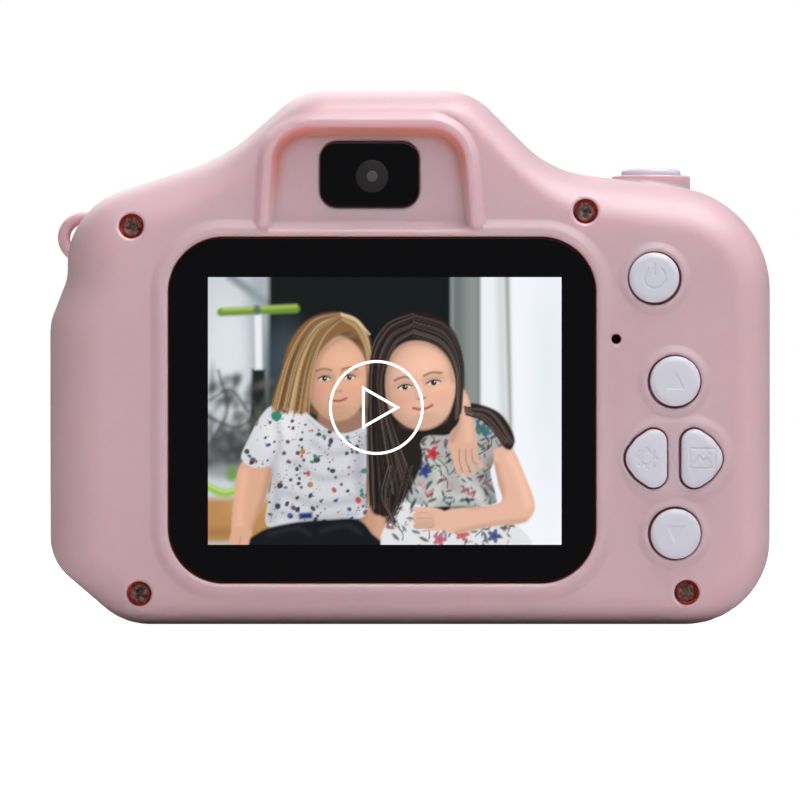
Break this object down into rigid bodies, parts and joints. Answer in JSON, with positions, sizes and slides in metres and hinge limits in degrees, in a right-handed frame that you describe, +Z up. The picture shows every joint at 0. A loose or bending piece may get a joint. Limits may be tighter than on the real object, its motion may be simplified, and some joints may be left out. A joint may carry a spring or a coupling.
{
  "type": "kids digital camera",
  "caption": "Small toy digital camera with a rounded two-part casing, rear screen and round buttons, a camera on each side, a shutter button and a lanyard loop.",
  "frame": {"origin": "bottom centre of the whole object's box, on the surface that it stands on", "axes": "+Z up, -Y towards the person who looks at the screen, +Y towards the scene, +X to that person's right"},
  "size_m": [0.083, 0.044, 0.0615],
  "materials": {
    "shell_pink": "satin moulded ABS, slightly translucent",
    "button_white": "satin moulded white",
    "window_black": "polished black printed acrylic",
    "lcd_glass": "lit liquid-crystal display",
    "frame_white": "matte moulded",
    "screw_steel": "nickel-plated, slightly worn",
    "board_green": "solder-masked fibreglass",
    "part_black": "matte moulded",
    "part_steel": "pressed tin-plated sheet",
    "flex_amber": "polyimide film",
    "foam_grey": "closed-cell foam tape",
    "battery_foil": "laminated pouch",
    "wire_red": "insulated stranded wire",
    "rubber_pink": "soft silicone",
    "lens_clear": "polished",
    "lens_dark": "coated lens",
    "trim_silver": "metallised moulding",
    "diffuser_white": "frosted",
    "led_yellow": "phosphor on a white board"
  },
  "bodies": {
    "camera_body": {"rear_cover": "shell_pink", "front_cover": "shell_pink", "casing_screws": "screw_steel", "screen_gasket": "foam_grey", "screen_window": "window_black", "lcd_frame": "frame_white", "lcd_panel": "lcd_glass", "lcd_flex": "flex_amber", "rear_camera_window": "window_black", "rear_camera_module": "part_black", "rear_camera_lens": "lens_dark", "rear_camera_flex": "flex_amber", "main_board": "board_green", "main_chips": "part_black", "board_screws": "part_steel", "button_switches": "part_black", "microphone": "part_steel", "shutter_switch": "part_black", "shutter_board": "board_green", "battery": "battery_foil", "battery_pad": "foam_grey", "battery_lead": "wire_red", "speaker": "part_black", "speaker_lead": "wire_red", "usb_port": "part_steel", "card_slot": "part_steel", "port_cover_anchor": "rubber_pink", "lens_barrel": "shell_pink", "barrel_screws": "part_steel", "lens_baffle": "part_black", "lens_glass": "lens_clear", "lens_trim_ring": "trim_silver", "front_camera_module": "part_black", "front_camera_lens": "lens_dark", "front_camera_flex": "flex_amber", "flash_window": "diffuser_white", "flash_led": "led_yellow"},
    "power_button_body": {"power_button": "button_white", "power_plunger": "frame_white"},
    "up_button_body": {"up_button": "button_white", "up_plunger": "frame_white"},
    "down_button_body": {"down_button": "button_white", "down_plunger": "frame_white"},
    "settings_button_body": {"settings_button": "button_white", "settings_plunger": "frame_white"},
    "gallery_button_body": {"gallery_button": "button_white", "gallery_plunger": "frame_white"},
    "shutter_button_body": {"shutter_button": "button_white", "shutter_plunger": "frame_white"},
    "port_cover_body": {"port_cover": "rubber_pink"},
    "memory_card_body": {"memory_card": "part_black"}
  },
  "joints": [
    {"name": "power_press", "type": "slide", "parent": "camera_body", "child": "power_button_body", "axis": [0, 1, 0], "range_m": [0, 0.0005], "stiffness_N_per_m": 800},
    {"name": "up_press", "type": "slide", "parent": "camera_body", "child": "up_button_body", "axis": [0, 1, 0], "range_m": [0, 0.0005], "stiffness_N_per_m": 800},
    {"name": "down_press", "type": "slide", "parent": "camera_body", "child": "down_button_body", "axis": [0, 1, 0], "range_m": [0, 0.0005], "stiffness_N_per_m": 800},
    {"name": "settings_press", "type": "slide", "parent": "camera_body", "child": "settings_button_body", "axis": [0, 1, 0], "range_m": [0, 0.0005], "stiffness_N_per_m": 800},
    {"name": "gallery_press", "type": "slide", "parent": "camera_body", "child": "gallery_button_body", "axis": [0, 1, 0], "range_m": [0, 0.0005], "stiffness_N_per_m": 800},
    {"name": "shutter_press", "type": "slide", "parent": "camera_body", "child": "shutter_button_body", "axis": [0, 0, -1], "range_m": [0, 0.0006], "stiffness_N_per_m": 800},
    {"name": "port_cover_hinge", "type": "hinge", "parent": "camera_body", "child": "port_cover_body", "pos_m": [0, -0.003, 0.0008], "axis": [1, 0, 0], "range_deg": [0, 95]},
    {"name": "card_push", "type": "slide", "parent": "camera_body", "child": "memory_card_body", "axis": [0, 0, 1], "range_m": [0, 0.0008], "stiffness_N_per_m": 400}
  ]
}
